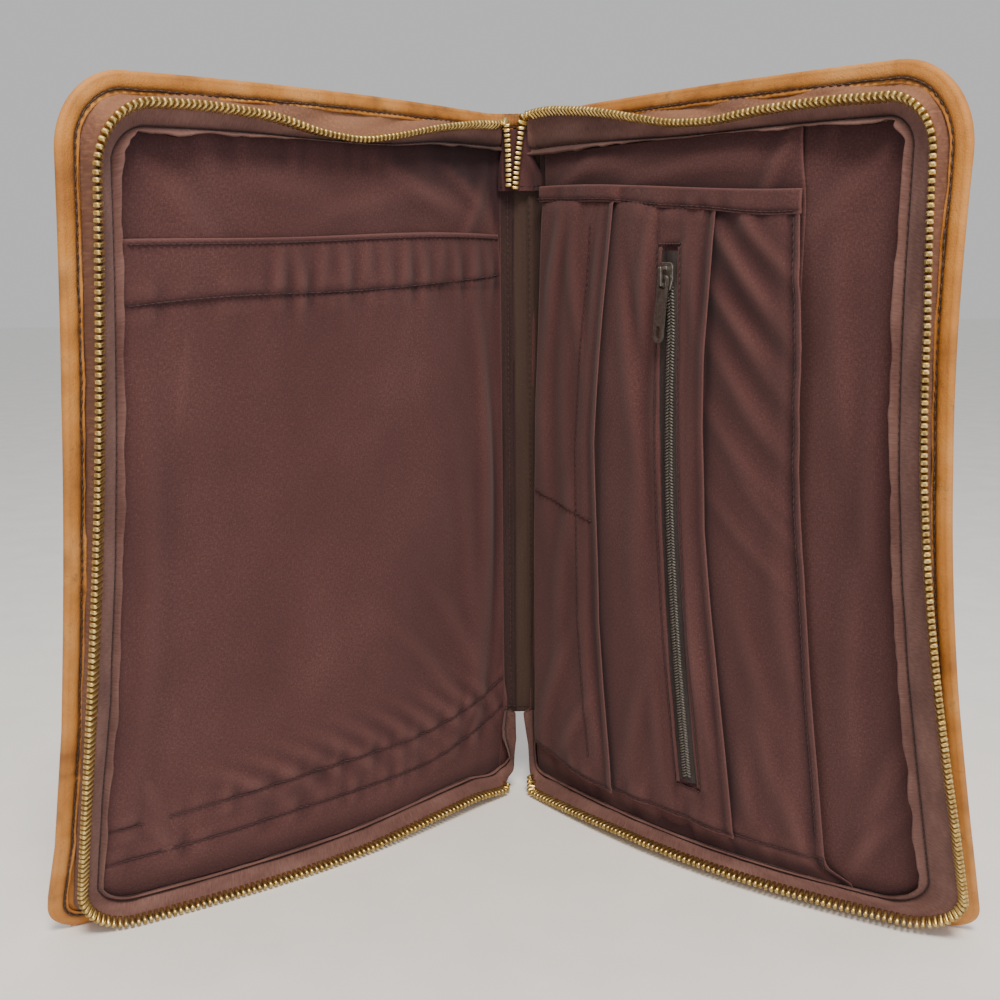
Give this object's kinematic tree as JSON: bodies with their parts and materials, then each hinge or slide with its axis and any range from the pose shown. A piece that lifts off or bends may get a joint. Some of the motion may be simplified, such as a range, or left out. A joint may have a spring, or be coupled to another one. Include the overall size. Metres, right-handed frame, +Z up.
{
  "type": "leather document case",
  "caption": "Zip-round leather case for papers, standing open on its lower edges, with a cloth document pocket and an organiser inside.",
  "frame": {"origin": "on the ground under the middle of the case's box", "axes": "+Z up, +Y from the open side towards the spine, +X to the right of someone looking into the open case"},
  "size_m": [0.3722, 0.21, 0.3344],
  "materials": {
    "leather": "tan waxed leather, matt, worn along the edges",
    "facing_cloth": "dark brown twill",
    "zip_tape_cloth": "brown woven zip tape",
    "zip_brass": "antique brass teeth",
    "lining_cloth": "maroon brown cotton lining",
    "spine_cloth": "grey brown cotton",
    "coil_zip": "dark grey nylon coil and tape",
    "slider_metal": "gunmetal, worn bright on the edges"
  },
  "bodies": {
    "case": {"leather_shell": "leather", "left_edge_facing": "facing_cloth", "right_edge_facing": "facing_cloth", "left_gusset": "zip_tape_cloth", "right_gusset": "zip_tape_cloth", "zip_end_tape": "zip_tape_cloth", "left_zip_chain": "zip_brass", "right_zip_chain": "zip_brass", "zip_joined_end": "zip_brass", "left_lining": "lining_cloth", "right_lining": "lining_cloth", "spine_lining": "spine_cloth", "document_pocket": "lining_cloth", "divider_panel": "lining_cloth", "organiser_panel": "lining_cloth", "organiser_zip_pocket": "lining_cloth", "organiser_pen_pocket": "lining_cloth", "organiser_hem": "lining_cloth", "pocket_zip_tape": "coil_zip", "pocket_zip_coil": "coil_zip", "pocket_zip_slider": "slider_metal"},
    "pull": {"pocket_zip_pull": "slider_metal"}
  },
  "joints": [
    {"name": "pull_hinge", "type": "hinge", "parent": "case", "child": "pull", "pos_m": [0.06124, 0.00075, 0.26037], "axis": [-0.553, 0.8179, 0.1586], "range_deg": [0, 165]}
  ]
}
